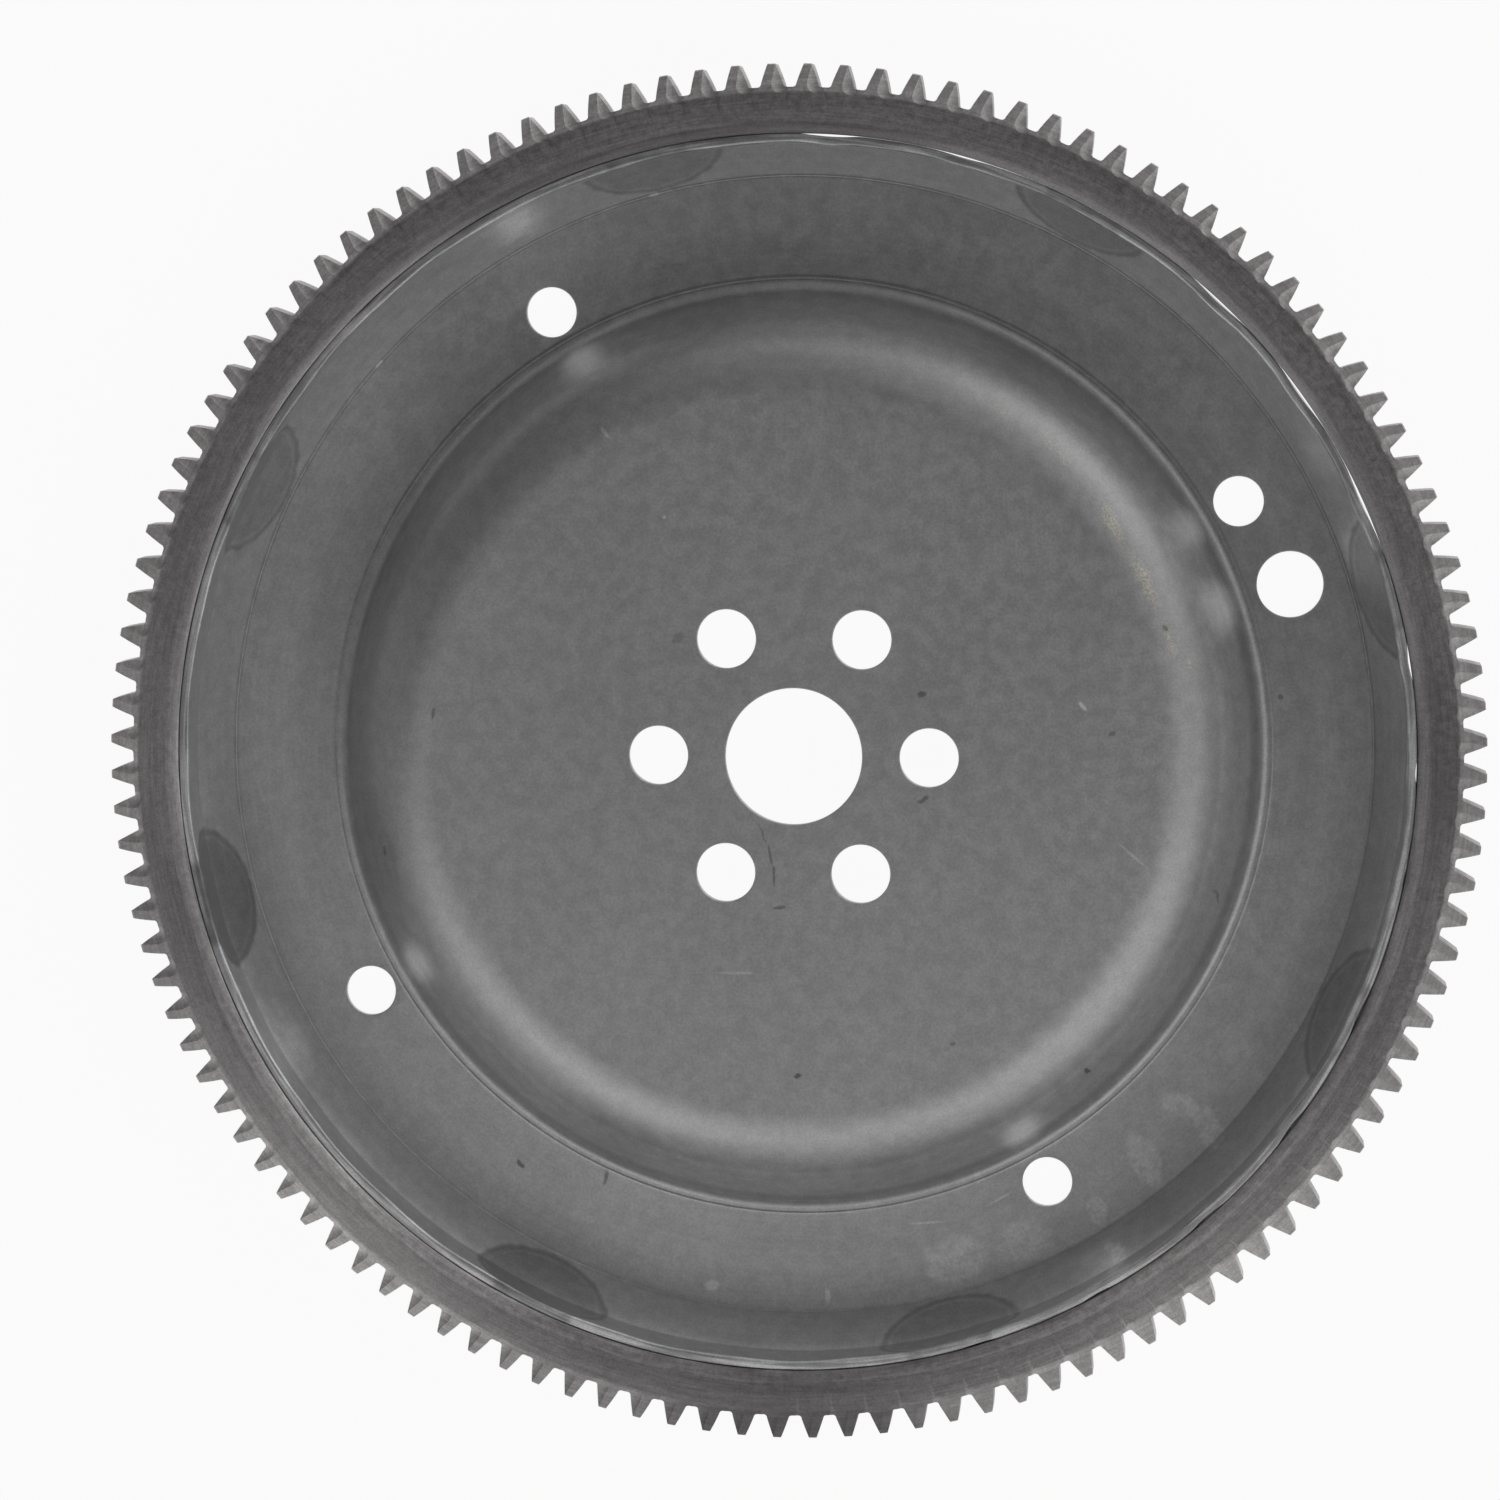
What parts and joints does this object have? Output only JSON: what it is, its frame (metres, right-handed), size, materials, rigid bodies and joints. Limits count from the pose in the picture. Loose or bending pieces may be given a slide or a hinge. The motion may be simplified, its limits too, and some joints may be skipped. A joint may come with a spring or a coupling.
{
  "type": "flexplate",
  "caption": "Dished sheet-steel drive plate with a raised hub, bolt holes for crankshaft and torque converter, and a welded-on starter ring gear.",
  "frame": {"origin": "middle of the flat rear face of the converter bolt annulus, which is the plane the plate lies on", "axes": "+Z along the crankshaft axis towards the raised hub and the ring gear's bevelled front; +X through one crankshaft bolt hole"},
  "size_m": [0.305, 0.305, 0.0259],
  "materials": {
    "disc_steel": "satin cold-rolled sheet steel, oiled",
    "gear_steel": "matt dark hardened steel, turned face",
    "weld_metal": "rippled weld metal"
  },
  "bodies": {
    "root": {"drive_disc": "disc_steel", "ring_gear": "gear_steel", "weld_bead_1": "weld_metal", "weld_bead_2": "weld_metal", "weld_bead_3": "weld_metal", "weld_bead_4": "weld_metal", "weld_bead_5": "weld_metal", "weld_bead_6": "weld_metal", "weld_bead_7": "weld_metal", "weld_bead_8": "weld_metal"}
  },
  "joints": []
}
